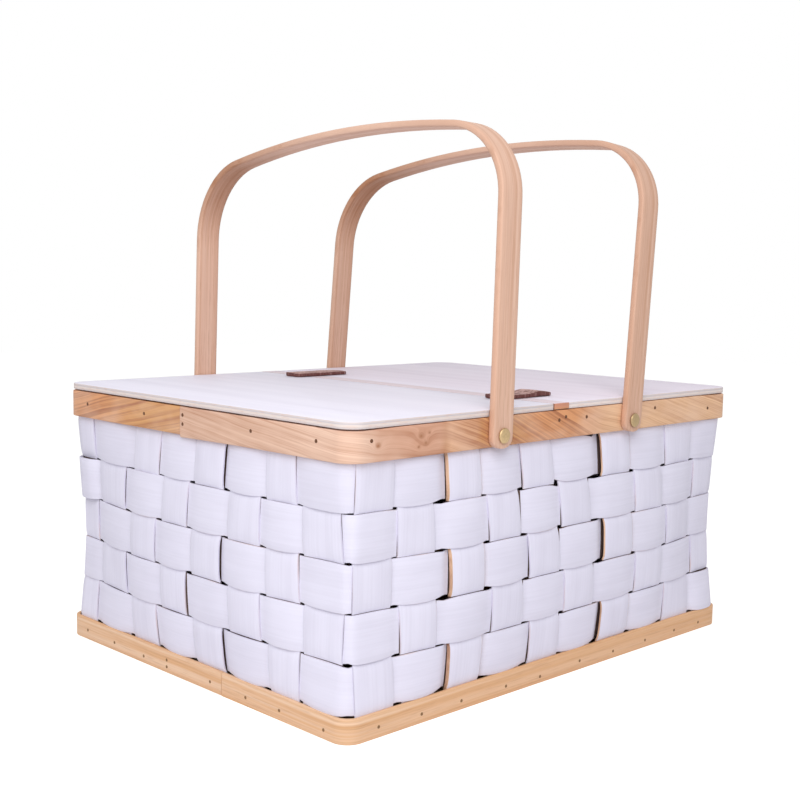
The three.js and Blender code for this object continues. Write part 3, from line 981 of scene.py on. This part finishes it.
def hidden(section):
    """The same outline, with the face and edges that lie out of sight unwashed and darkened as painted
    shade; its inner face is washed.
    """
    return [
        (across, out, kind if kind == FACE and out < 0 else HIDDEN) for across, out, kind in section
    ]


def weave_weaver(sides, row, rows):
    """One weaver: over and under alternate stakes all the way round."""
    size = sizes()
    bottom, top = rows[row - 1]
    middle = (bottom + top) / 2
    uneven = random.Random(row)
    stakes = [stake for side in sides for stake in side.stakes]
    rings, sections, centres = [], [], []
    for side in sides:
        for index, stake in enumerate(side.stakes):
            after = stakes[(stake.count + 1) % len(stakes)]
            start, stop = cell_bounds(side, index, middle)
            edges = stake_edges(stake, middle)
            over = is_over(stake, row)
            bulge = size.weaver_bulge * uneven.uniform(*BULGE_STRAY)
            bulge += BULGED_CELLS.get((row, stake.name), 0) * MM
            deep = DEEP_STAKES.get(stake.name, 0) * MM
            for share in cell_shares(start, stop, edges):
                swell = swelling(share)
                run = between(start, stop, share)
                gaps = [
                    between(crossing_gap(stake, line, rows), crossing_gap(after, line, rows), share) / 2
                    for line in (row - 1, row)
                ]
                wave = wavy((stake.count + share) * WEAVER_WAVES, row * WEAVER_APART)
                wander = WEAVER_WANDER * wave
                droop = size.weaver_droop * swell if over else 0
                low = bottom + wander + gaps[1] * (1 - swell) - droop
                high = top + wander - gaps[0] * (1 - swell)
                section = strip_section(
                    low, high, size.splint, size.splint_rounding, WEAVER_CROWN * swell
                )
                dip = size.weaver_dip * swell + deep * swelling(share, LOOSE_QUICKNESS)
                reach = bulge * swell if over else -dip
                rings.append([wall_vertex(side, run, reach + out, height) for height, out, _ in section])
                behind = not over and edges[0] <= run < edges[1]
                sections.append(hidden(section) if behind else section)
                centres.append(wall_vertex(side, run, 0, middle))
    materials = [finish(weaver_wash), finish(painted_edge), finish(hidden_splint)]
    weaver = loft(f"weaver_{row}", rings, run_lengths(centres, True), sections, materials, True)
    stands_for(weaver, "basket", "painted_splint", f"weaver_row_{row}")


def row_at(height, rows):
    """How far down the wall a height is, in rows, and the row that it is in."""
    share = (1 - up_the_wall(height)) * len(rows)
    return share, math.floor(share) + 1


def stake_out(stake, rows, height):
    """How far out a stake stands at a height."""
    share, row = row_at(height, rows)
    if not 1 <= row <= len(rows):
        return 0.0
    if is_over(stake, row):
        return -sizes().stake_dip * swelling(share % 1)
    bulge = sizes().stake_bulge * swelling(share % 1, STAKE_QUICKNESS)
    return bulge + LOOSE_STAKES.get(stake.name, 0) * MM * swelling(share % 1, LOOSE_QUICKNESS)


def weave_stake(side, stake, rows):
    """One stake, behind and over alternate weavers."""
    size = sizes()
    thick = stake.name in THICK_STAKES
    thickness = THICK_STAKES[stake.name] * MM if thick else size.splint
    inward = (thickness - size.splint) / 2
    bottom, top = (corner[2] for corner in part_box(stake.name))
    top -= size.rim_shave
    steps = round((top - bottom) / STAKE_STEP)
    rings, sections, heights = [], [], []
    for step in range(steps + 1):
        height = between(bottom, top, step / steps)
        out = stake_out(stake, rows, height)
        wander = STAKE_WANDER * wavy(height * STAKE_WAVES, stake.count * STAKE_APART)
        start, end = stake_edges(stake, height)
        section = strip_section(
            start + wander, end - wander, thickness, size.splint_rounding, max(out, 0) * STAKE_CROWN
        )
        rings.append([wall_vertex(side, run, out - inward + away, height) for run, away, _ in section])
        share, row = row_at(height, rows)
        behind = is_over(stake, row) and abs(share % 1 - 0.5) < HIDDEN_REACH
        sections.append(hidden(section) if behind else section)
        heights.append(height)
    edge = bare_edge if thick else painted_edge
    name = stake.name.replace("stake", "upright")
    materials = [finish(stake_wash), finish(edge), finish(hidden_splint)]
    piece = loft(name, rings, heights, sections, materials)
    stands_for(piece, "basket", "painted_splint", stake.name)


class BASKET_OT_weave(bpy.types.Operator):
    """Weave the wall from upright stakes and rows of weavers"""

    bl_idname = "basket.weave"
    bl_label = "Weave the wall"

    def execute(self, context):
        sides = wall_sides()
        rows = weave_rows()
        for row in range(1, len(rows) + 1):
            weave_weaver(sides, row, rows)
        for side in sides:
            for stake in side.stakes:
                weave_stake(side, stake, rows)
        return {"FINISHED"}


# Bands

BAND_STEP = 12 * MM
CORNER_STEPS = 5
SEAM_GAP = 0.2 * MM
SAG_REACH = 60 * MM
LIFT_REACH = 30 * MM
EDGE_WAVE = 0.25 * MM
EDGE_WAVES = 9
EDGE_STRETCH = 3.1


def side_runs(side, start=-math.inf, stop=math.inf):
    """Places along one side between two runs, closer together round its corners."""
    corner = half_run(side.straight) - side.straight
    bent = [side.straight + corner * step / CORNER_STEPS for step in range(1, CORNER_STEPS)]
    steps = round(2 * side.straight / BAND_STEP)
    level = [side.straight * (2 * step / steps - 1) for step in range(steps + 1)]
    runs = [-half_run(side.straight), *(-run for run in reversed(bent)), *level, *bent]
    return [run for run in runs if start < run < stop]


def band_places(seam):
    """The way round the basket from a seam on its left side: a side and a run for each place."""
    sides = wall_sides()
    first, last = seam + SEAM_GAP, seam - SEAM_GAP
    places = [(sides[0], first)]
    places += [(sides[0], run) for run in side_runs(sides[0], start=first)]
    for side in sides[1:]:
        places += [(side, run) for run in side_runs(side)]
    places += [(sides[0], run) for run in side_runs(sides[0], stop=last)]
    places.append((sides[0], last))
    return places


def make_band(name, node, thickness, seam, material, drop=0.0, lift=0.0, shave=0.0):
    """A strip bent round the basket, its first end low, its top shaved and its front edge lifted."""
    low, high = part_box(node)
    half = (high[2] - low[2]) / 2
    middle = (high[2] + low[2]) / 2
    inset = RIM_HIGH[0] - high[0] + thickness / 2
    places = band_places(-seam)
    lengths = run_lengths([wall_point(side, run, inset) for side, run in places])
    rings, sections = [], []
    for (side, run), length in zip(places, lengths):
        sag = drop * math.exp(-length / SAG_REACH)
        front = clamp((side.straight - abs(run)) / LIFT_REACH) if side.name == "front" else 0
        wave = EDGE_WAVE * wavy(length * EDGE_WAVES, EDGE_STRETCH)
        bottom = -half - sag + max(wave, 0)
        top = half - shave + lift * front
        section = strip_section(bottom, top, thickness, sizes().band_rounding)
        rings.append([
            wall_point(side, run, inset, out) + UP * (middle + across) for across, out, _ in section
        ])
        sections.append(section)
    band = loft(name, rings, lengths, sections, [material])
    stands_for(band, "basket", "band_wood", node)


class BASKET_OT_bands(bpy.types.Operator):
    """Bend the rim's two bands and the foot band round the wall"""

    bl_idname = "basket.bands"
    bl_label = "Bend the bands"

    def execute(self, context):
        size = sizes()
        rim = finish(rim_wood)
        make_band(
            "rim_band", "outer_rim_band", size.rim_thickness, size.rim_seam, rim,
            size.rim_drop, size.rim_lift, size.rim_shave,
        )
        make_band(
            "inner_band", "inner_rim_band", size.rim_thickness, -size.rim_seam, rim,
            shave=size.rim_shave,
        )
        foot = finish(foot_wood)
        make_band(
            "foot_strip", "foot_band", size.foot_thickness, size.foot_seam, foot, size.foot_drop
        )
        return {"FINISHED"}


# Lids, crossbar and base

LEVEL = 0.6
BOARD_ROUNDING = 0.5 * MM
MERGE_REACH = 0.001 * MM
FLAT_ANGLE = math.radians(1)
SHARP_ANGLE = math.radians(40)


def flat_piece(name, node, body, slot, rounding, materials, shift=0.0):
    """A flat node with rounded edges and its underside shifted up, or down where that is negative.

    Its level faces, ends and long sides take the first, second and third material, or the last one.
    """
    low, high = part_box(node)
    middle = (low[2] + high[2]) / 2
    mesh = frame["nodes"][node].data.copy()
    mesh.name = name
    shell = bmesh.new()
    shell.from_mesh(mesh)
    bmesh.ops.remove_doubles(shell, verts=shell.verts, dist=MERGE_REACH)
    bmesh.ops.dissolve_limit(shell, angle_limit=FLAT_ANGLE, verts=shell.verts, edges=shell.edges)
    for vert in shell.verts:
        if vert.co.z < middle:
            vert.co.z += shift
    sharp = [edge for edge in shell.edges if edge.calc_face_angle(0) > SHARP_ANGLE]
    bmesh.ops.bevel(
        shell, geom=sharp, offset=rounding, segments=2, profile=0.5, affect="EDGES", clamp_overlap=True
    )
    bmesh.ops.recalc_face_normals(shell, faces=shell.faces)
    layer = shell.loops.layers.uv.new(GRAIN_MAP)
    for face in shell.faces:
        level = abs(face.normal.z) > LEVEL
        kind = FACE if level else HIDDEN if abs(face.normal.x) > LEVEL else EDGE
        face.material_index = min(kind, len(materials) - 1)
        face.smooth = True
        for corner in face.loops:
            x, y, z = corner.vert.co
            corner[layer].uv = (y, x) if level else (x + y, z)
    mesh.materials.clear()
    for material in materials:
        mesh.materials.append(material)
    shell.to_mesh(mesh)
    shell.free()
    mesh.set_sharp_from_angle(angle=CREASE)
    stands_for(add_piece(name, mesh), body, slot, node)


class BASKET_OT_lids(bpy.types.Operator):
    """Lay the two lids, the crossbar between them and the base board"""

    bl_idname = "basket.lids"
    bl_label = "Lay the lids"

    def execute(self, context):
        size = sizes()
        ply = [finish(lid_face), finish(ply_edge)]
        shift = size.lid_gap - size.rim_shave
        for side in ("left", "right"):
            lid = f"{side}_lid"
            flat_piece(f"{side}_panel", lid, lid, "lid_plywood", size.lid_rounding, ply, shift)
        rail = [finish(rail_wash), finish(rail_end), finish(rail_side)]
        flat_piece("rail", "crossbar", "basket", "band_wood", BOARD_ROUNDING, rail)
        board = [finish(board_wood)]
        flat_piece("floor_board", "base_board", "basket", "band_wood", BOARD_ROUNDING, board)
        return {"FINISHED"}


# Straps

STRAP_STEP = 1.5 * MM
STRAP_ROUNDING = 0.6 * MM
STRAP_CROWN = 0.2 * MM
STRAP_WAVE = 0.3 * MM
STRAP_WAVES = 70
STRAP_DIVISIONS = 8
HUMP_REACH = 8 * MM
HUMP_SHIFT = 11 * MM
HUMP_UNDER = 0.4


def strap_half(place, side):
    """Half a strap, from the crossbar's middle to its end on one lid; the front strap's right half humps
    just beyond its hinge.
    """
    size = sizes()
    low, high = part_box(f"{place}_strap_{side}_flap")
    tab_low, tab_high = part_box(f"{place}_strap_tab")
    middle_x = (tab_low[0] + tab_high[0]) / 2
    left = side == "left"
    end_x = low[0] if left else high[0]
    hinge_x = (tab_low[0] + high[0]) / 2 if left else (tab_high[0] + low[0]) / 2
    middle_y = (low[1] + high[1]) / 2
    half = (high[1] - low[1]) / 2
    thickness = high[2] - low[2]
    middle_z = (low[2] + high[2]) / 2
    humped = size.strap_hump if (place, side) == ("front", "right") else 0
    steps = round(abs(end_x - middle_x) / STRAP_STEP)
    rings, sections, lengths = [], [], []
    for step in range(steps + 1):
        x = between(middle_x, end_x, step / steps)
        corner = clamp(abs(end_x - x) / size.strap_corner)
        width = half - size.strap_corner * (1 - math.sqrt(1 - (1 - corner) ** 2))
        beyond = (x - hinge_x - HUMP_SHIFT) / HUMP_REACH
        off_bar = clamp(abs(x - middle_x) / HUMP_REACH)
        hump = humped * math.exp(-(beyond ** 2)) * off_bar
        section = strip_section(-width, width, thickness, STRAP_ROUNDING, STRAP_CROWN, STRAP_DIVISIONS)
        ring = []
        for across, out, _ in section:
            wave = STRAP_WAVE * wavy(x * STRAP_WAVES, across * STRAP_WAVES, half)
            lift = hump + wave if out > 0 else hump * HUMP_UNDER
            ring.append(Vector((x, middle_y + across, middle_z + out + lift)))
        rings.append(ring)
        sections.append(section)
        lengths.append(x)
    materials = [finish(strap_face), finish(strap_edge)]
    piece = loft(f"{place}_strap_{side}", rings, lengths, sections, materials)
    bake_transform(piece)
    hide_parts(f"{place}_strap_tab", f"{place}_strap_{side}_flap")


class BASKET_OT_straps(bpy.types.Operator):
    """Lay the leather straps that hinge the lids"""

    bl_idname = "basket.straps"
    bl_label = "Lay the straps"

    def execute(self, context):
        for place in ("front", "back"):
            for side in ("left", "right"):
                strap_half(place, side)
        return {"FINISHED"}


# Handles

ROUTE_STEP = 6 * MM
BEND_STEPS = 16
TIP_SHARES = (0.999, 0.97, 0.9, 0.8, 0.66, 0.5, 0.3, 0.12)
TIP_LEAST = 0.002
TIP_DROP = 0.85
TIP_SQUARENESS = 2.5
HANDLE_DIVISIONS = 6
MOST_ROUNDING = 0.45


def arc(centre, radius, start, stop):
    """Points (across, up) from one angle to another."""
    angles = [between(start, stop, step / BEND_STEPS) for step in range(BEND_STEPS + 1)]
    return [centre + Vector((math.cos(angle), math.sin(angle))) * radius for angle in angles]


def evened(route):
    """The same line with long stretches divided."""
    points = [route[0]]
    for before, after in zip(route, route[1:]):
        pieces = max(1, round((after - before).length / ROUTE_STEP))
        points += [before.lerp(after, piece / pieces) for piece in range(1, pieces + 1)]
    return points


def handle_route(reach):
    """One handle's middle line as (across, up) from its pivots, with its round tips."""
    size = sizes()
    radii = (size.front_shoulder, size.back_shoulder)
    crown = Vector((size.crown_peak, size.crown - size.crown_radius))
    shoulders, angles = [], []
    for way, radius in zip((-1, 1), radii):
        across = way * (reach - radius)
        rise = math.sqrt((size.crown_radius - radius) ** 2 - (across - crown.x) ** 2)
        shoulders.append(Vector((across, crown.y + rise)))
        angles.append(math.atan2(rise, across - crown.x))
    bends = arc(shoulders[0], radii[0], math.pi, angles[0])
    bends += arc(crown, size.crown_radius, *angles)[1:]
    bends += arc(shoulders[1], radii[1], angles[1], 0)[1:]
    tips = [-share * TIP_DROP * size.handle_width / 2 for share in TIP_SHARES]
    front = [Vector((-reach, drop)) for drop in tips]
    back = [Vector((reach, drop)) for drop in reversed(tips)]
    return front + evened([Vector((-reach, 0)), *bends, Vector((reach, 0))]) + back


def make_handle(side, lean):
    """One handle: a strip bent over the basket, standing on its pivots at a lean."""
    size = sizes()
    node = f"{side}_handle"
    joint = next(entry for entry in frame["joints"] if entry["name"] == f"{node}_swing")
    pivot = Vector(joint["pos_m"])
    spun = Matrix.Rotation(lean, 3, "Y")
    route = handle_route(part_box(node)[1][1] - size.handle_thickness / 2)
    rings, sections = [], []
    for index, point in enumerate(route):
        before = route[max(index - 1, 0)]
        after = route[min(index + 1, len(route) - 1)]
        way = (after - before).normalized()
        out = Vector((0, -way.y, way.x))
        half = size.handle_width / 2
        if point.y < 0:
            drop = -point.y / (TIP_DROP * half)
            half *= max(1 - drop ** TIP_SQUARENESS, TIP_LEAST) ** (1 / TIP_SQUARENESS)
        rounding = min(size.handle_rounding, MOST_ROUNDING * half)
        section = strip_section(-half, half, size.handle_thickness, rounding, 0, HANDLE_DIVISIONS)
        rings.append([
            pivot + spun @ (Vector((across, point.x, point.y)) + out * away) for across, away, _ in section
        ])
        sections.append(section)
    bow = loft(f"{side}_bow", rings, run_lengths(route), sections, [finish(handle_wood)])
    stands_for(bow, node, "handle_wood", node)


class BASKET_OT_handles(bpy.types.Operator):
    """Bend the two handles"""

    bl_idname = "basket.handles"
    bl_label = "Bend the handles"

    def execute(self, context):
        make_handle("left", sizes().left_lean)
        make_handle("right", sizes().right_lean)
        return {"FINISHED"}


# Rivets and nails

TURNED_SIDES = 32
TAIL_SHARE = 0.8
# Outlines of a rivet's and a nail's head, as shares of its radius and height
HEAD_OUTLINE = (
    (0.92, 0.0), (1.0, 0.22), (0.99, 0.5), (0.9, 0.78), (0.74, 0.9), (0.45, 0.97), (0.05, 1.0),
)
NAIL_OUTLINE = ((0.9, -1.0), (1.0, 0.0), (0.9, 0.7), (0.5, 1.0), (0.05, 1.0))


def turned(name, outline, places, material):
    """Turned pieces in one mesh: an outline of (radius, height) at each (place, direction)."""
    points, faces = [], []
    for place, way in places:
        spin = way.to_track_quat("Z", "Y").to_matrix()
        base = len(points)
        for radius, height in outline:
            for turn in range(TURNED_SIDES):
                angle = 2 * math.pi * turn / TURNED_SIDES
                arm = Vector((radius * math.cos(angle), radius * math.sin(angle), height))
                points.append(place + spin @ arm)
        for step in range(len(outline) - 1):
            row = base + step * TURNED_SIDES
            above = row + TURNED_SIDES
            for turn in range(TURNED_SIDES):
                beside = (turn + 1) % TURNED_SIDES
                faces.append((row + turn, row + beside, above + beside, above + turn))
        last = base + (len(outline) - 1) * TURNED_SIDES
        faces.append(tuple(range(base + TURNED_SIDES - 1, base - 1, -1)))
        faces.append(tuple(range(last, last + TURNED_SIDES)))
    grain = [(points[index].x, points[index].z) for face in faces for index in face]
    return finished_mesh(name, points, faces, grain, [0] * len(faces), [material])


def make_rivet(side, face):
    """A rivet from its tail inside the rim to its domed head outside the handle."""
    size = sizes()
    node = f"{side}_{face}_rivet"
    low, high = (Vector(corner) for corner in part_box(node))
    way = Vector((0, -1 if face == "front" else 1, 0))
    length = high.y - low.y
    radius = (high.x - low.x) / 2
    tail = radius * TAIL_SHARE
    outline = [
        (tail, 0),
        (tail, size.rivet_tail),
        (size.rivet_shaft, size.rivet_tail),
        (size.rivet_shaft, length - size.rivet_head),
    ]
    outline += [
        (radius * wide, length - size.rivet_head * (1 - tall)) for wide, tall in HEAD_OUTLINE
    ]
    inside = (low + high) / 2 - way * (length / 2)
    stud = turned(f"{side}_{face}_stud", outline, [(inside, way)], finish(worn_brass))
    stands_for(stud, "basket", "brass", node)


def drive_nails(name, table, inset, radius, material):
    """A band's nails, all round the basket."""
    outline = [(radius * wide, sizes().nail_height * tall) for wide, tall in NAIL_OUTLINE]
    places = []
    for side in wall_sides():
        for run, height in table[side.name]:
            places.append((wall_point(side, run * MM, inset) + UP * height * MM, side.out))
    nails = turned(name, outline, places, material)
    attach(nails, "basket")


class BASKET_OT_fasteners(bpy.types.Operator):
    """Set the brass rivets and drive the nails"""

    bl_idname = "basket.fasteners"
    bl_label = "Set rivets and nails"

    def execute(self, context):
        size = sizes()
        for side in ("left", "right"):
            for face in ("front", "back"):
                make_rivet(side, face)
        drive_nails("rim_nails", RIM_NAILS, 0.0, size.rim_nail, finish(rim_nail))
        foot_inset = RIM_HIGH[0] - FOOT_HIGH[0]
        drive_nails("foot_nails", FOOT_NAILS, foot_inset, size.foot_nail, finish(foot_nail))
        return {"FINISHED"}


# Stage

FLOOR_SIZE = 6.0
KEY_AIM = Vector((0, 0, 0.12))
WHITE = (1, 1, 1, 1)
SEEN_RAYS = ("Is Camera Ray", "Is Glossy Ray", "Is Transmission Ray")


def camera_turn(stage):
    """The camera's turn from its heading, pitch and roll."""
    heading, pitch, roll = stage.camera_heading, stage.camera_pitch, stage.camera_roll
    ahead = Vector((
        math.sin(heading) * math.cos(pitch), math.cos(heading) * math.cos(pitch), -math.sin(pitch)
    ))
    level = Vector((math.cos(heading), -math.sin(heading), 0))
    above = level.cross(ahead)
    right = level * math.cos(roll) + above * math.sin(roll)
    top = above * math.cos(roll) - level * math.sin(roll)
    return Matrix((right, top, -ahead)).transposed()


def white_where_seen(graph, lit, seen):
    """The lit shader, but the seen one for what the camera, gloss and glass look at."""
    camera, gloss, glass = (graph.node("ShaderNodeLightPath", {}, {}, ray) for ray in SEEN_RAYS)
    looked_at = camera.above(gloss).above(glass)
    return graph.node("ShaderNodeMixShader", {}, {0: looked_at, 1: lit, 2: seen})


def set_camera(scene, stage):
    lens = bpy.data.cameras.new("camera")
    lens.sensor_width = SENSOR_WIDTH
    lens.lens = stage.focal_pixels * SENSOR_WIDTH / IMAGE_WIDTH
    camera = bpy.data.objects.new("camera", lens)
    camera.matrix_world = Matrix.Translation(stage.camera_place) @ camera_turn(stage).to_4x4()
    scene.collection.objects.link(camera)
    scene.camera = camera


def set_lights(scene, stage):
    lamp = bpy.data.lights.new("key_lamp", "AREA")
    lamp.energy = stage.key
    lamp.size = stage.key_size
    key = bpy.data.objects.new("key_lamp", lamp)
    key.location = stage.key_place
    key.rotation_euler = (KEY_AIM - key.location).to_track_quat("-Z", "Y").to_euler()
    scene.collection.objects.link(key)
    scene.world = bpy.data.worlds.new("studio")
    sky = Graph(scene.world)
    light = sky.node("ShaderNodeBackground", {}, {"Color": WHITE, "Strength": stage.sky})
    white = sky.node("ShaderNodeBackground", {}, {"Color": WHITE, "Strength": 1.0})
    sky.node("ShaderNodeOutputWorld", {"target": "ALL"}, {"Surface": white_where_seen(sky, light, white)})


def lay_floor(stage):
    graph = Graph(bpy.data.materials.new("floor"))
    lit = graph.node("ShaderNodeBsdfDiffuse", {}, {"Color": (*stage.floor, 1)})
    glow = graph.node("ShaderNodeEmission", {}, {"Color": WHITE, "Strength": stage.floor_glow})
    seen = graph.node("ShaderNodeAddShader", {}, {0: lit, 1: glow})
    shown = white_where_seen(graph, lit, seen)
    graph.node("ShaderNodeOutputMaterial", {"target": "ALL"}, {"Surface": shown})
    half = FLOOR_SIZE / 2
    corners = [(-half, -half, 0), (half, -half, 0), (half, half, 0), (-half, half, 0)]
    mesh = bpy.data.meshes.new("floor")
    mesh.from_pydata(corners, [], [(0, 1, 2, 3)])
    mesh.materials.append(graph.owner)
    add_piece("floor", mesh)


class BASKET_OT_stage(bpy.types.Operator):
    """Set the camera, the light and the floor"""

    bl_idname = "basket.stage"
    bl_label = "Set the stage"

    def execute(self, context):
        scene = context.scene
        stage = scene.basket_stage
        set_camera(scene, stage)
        set_lights(scene, stage)
        lay_floor(stage)
        scene.view_settings.view_transform = "Standard"
        return {"FINISHED"}


OPERATORS = (
    BASKET_OT_weave,
    BASKET_OT_bands,
    BASKET_OT_lids,
    BASKET_OT_straps,
    BASKET_OT_handles,
    BASKET_OT_fasteners,
    BASKET_OT_stage,
)


class BASKET_PT_sidebar(bpy.types.Panel):
    """Lists the basket's sizes, colours and operators"""

    bl_idname = "BASKET_PT_sidebar"
    bl_label = "Picnic Basket"
    bl_space_type = "VIEW_3D"
    bl_region_type = "UI"
    bl_category = "Basket"

    def draw(self, context):
        scene = context.scene
        for group in (scene.basket_sizes, scene.basket_colours, scene.basket_stage):
            box = self.layout.box()
            for name in group.bl_rna.properties.keys():
                if name not in ("rna_type", "name"):
                    box.prop(group, name)
        for operator in OPERATORS:
            self.layout.operator(operator.bl_idname)


CLASSES = (BasketSizes, BasketColours, BasketStage, *OPERATORS, BASKET_PT_sidebar)


def register():
    for entry in CLASSES:
        bpy.utils.register_class(entry)
    bpy.types.Scene.basket_sizes = PointerProperty(type=BasketSizes)
    bpy.types.Scene.basket_colours = PointerProperty(type=BasketColours)
    bpy.types.Scene.basket_stage = PointerProperty(type=BasketStage)


def unregister():
    del bpy.types.Scene.basket_stage
    del bpy.types.Scene.basket_colours
    del bpy.types.Scene.basket_sizes
    for entry in reversed(CLASSES):
        bpy.utils.unregister_class(entry)


def main():
    register()
    bpy.ops.basket.weave()
    bpy.ops.basket.bands()
    bpy.ops.basket.lids()
    bpy.ops.basket.straps()
    bpy.ops.basket.handles()
    bpy.ops.basket.fasteners()
    bpy.ops.basket.stage()


if __name__ == "__main__":
    main()
